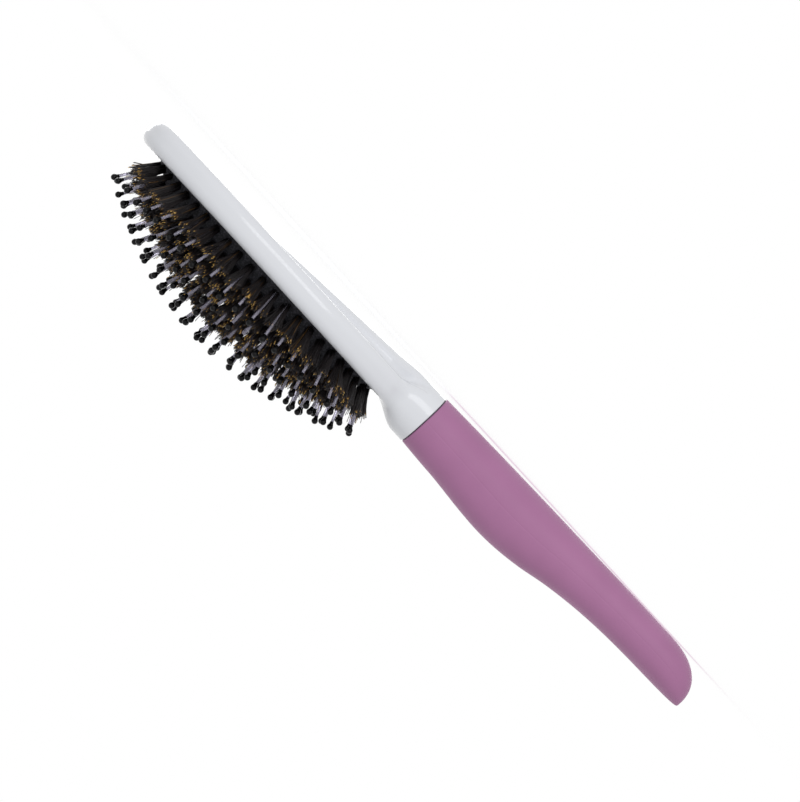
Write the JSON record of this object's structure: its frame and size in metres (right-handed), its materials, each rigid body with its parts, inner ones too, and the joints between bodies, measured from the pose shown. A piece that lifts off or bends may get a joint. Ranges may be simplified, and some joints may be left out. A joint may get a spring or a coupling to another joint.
{
  "type": "cushion hairbrush",
  "caption": "Oval pneumatic cushion hairbrush with domed rubber pad, mixed boar tufts and ball-tipped nylon pins, and a soft-touch handle.",
  "frame": {"origin": "under the middle of the brush, at the level of the lowest point of its back", "axes": "+X along the brush to the tip of the head, +Z the way the bristles point, +Y to the side"},
  "size_m": [0.24, 0.066, 0.046],
  "materials": {
    "gloss_white": "gloss moulded ABS",
    "cushion_rubber": "matt, fine stipple",
    "dark_core": "satin",
    "soft_touch_mauve": "soft-touch satin",
    "boar_bristle": "natural bristle with paler split tips",
    "nylon_pin": "translucent nylon",
    "ball_tip": "gloss enamel"
  },
  "bodies": {
    "shell": {"head_frame": "gloss_white", "cushion_pad": "cushion_rubber", "handle_core": "dark_core", "handle_grip": "soft_touch_mauve"},
    "bristles_zone_1": {"tufts_zone_1": "boar_bristle", "pins_zone_1": "nylon_pin", "ball_tips_zone_1": "ball_tip"},
    "bristles_zone_2": {"tufts_zone_2": "boar_bristle", "pins_zone_2": "nylon_pin", "ball_tips_zone_2": "ball_tip"},
    "bristles_zone_3": {"tufts_zone_3": "boar_bristle", "pins_zone_3": "nylon_pin", "ball_tips_zone_3": "ball_tip"},
    "bristles_zone_4": {"tufts_zone_4": "boar_bristle", "pins_zone_4": "nylon_pin", "ball_tips_zone_4": "ball_tip"},
    "bristles_zone_5": {"tufts_zone_5": "boar_bristle", "pins_zone_5": "nylon_pin", "ball_tips_zone_5": "ball_tip"},
    "bristles_zone_6": {"tufts_zone_6": "boar_bristle", "pins_zone_6": "nylon_pin", "ball_tips_zone_6": "ball_tip"}
  },
  "joints": [
    {"name": "cushion_press", "type": "slide", "parent": "shell", "child": "bristles_zone_6", "axis": [0, 0, -1], "range_m": [0, 0.0025], "stiffness_N_per_m": 900, "deforming": ["cushion_pad"]},
    {"name": "cushion_press_zone_5", "type": "slide", "parent": "shell", "child": "bristles_zone_5", "axis": [0, 0, -1], "range_m": [0, 0.00221], "stiffness_N_per_m": 900},
    {"name": "cushion_press_zone_4", "type": "slide", "parent": "shell", "child": "bristles_zone_4", "axis": [0, 0, -1], "range_m": [0, 0.00181], "stiffness_N_per_m": 900},
    {"name": "cushion_press_zone_3", "type": "slide", "parent": "shell", "child": "bristles_zone_3", "axis": [0, 0, -1], "range_m": [0, 0.00154], "stiffness_N_per_m": 900},
    {"name": "cushion_press_zone_2", "type": "slide", "parent": "shell", "child": "bristles_zone_2", "axis": [0, 0, -1], "range_m": [0, 0.00102], "stiffness_N_per_m": 900},
    {"name": "cushion_press_zone_1", "type": "slide", "parent": "shell", "child": "bristles_zone_1", "axis": [0, 0, -1], "range_m": [0, 0.0002825], "stiffness_N_per_m": 900}
  ],
  "couplings": [
    {"joint": "cushion_press_zone_1", "follows": "cushion_press", "ratio": 0.1126},
    {"joint": "cushion_press_zone_2", "follows": "cushion_press", "ratio": 0.4074},
    {"joint": "cushion_press_zone_3", "follows": "cushion_press", "ratio": 0.6156},
    {"joint": "cushion_press_zone_4", "follows": "cushion_press", "ratio": 0.7249},
    {"joint": "cushion_press_zone_5", "follows": "cushion_press", "ratio": 0.8851}
  ]
}
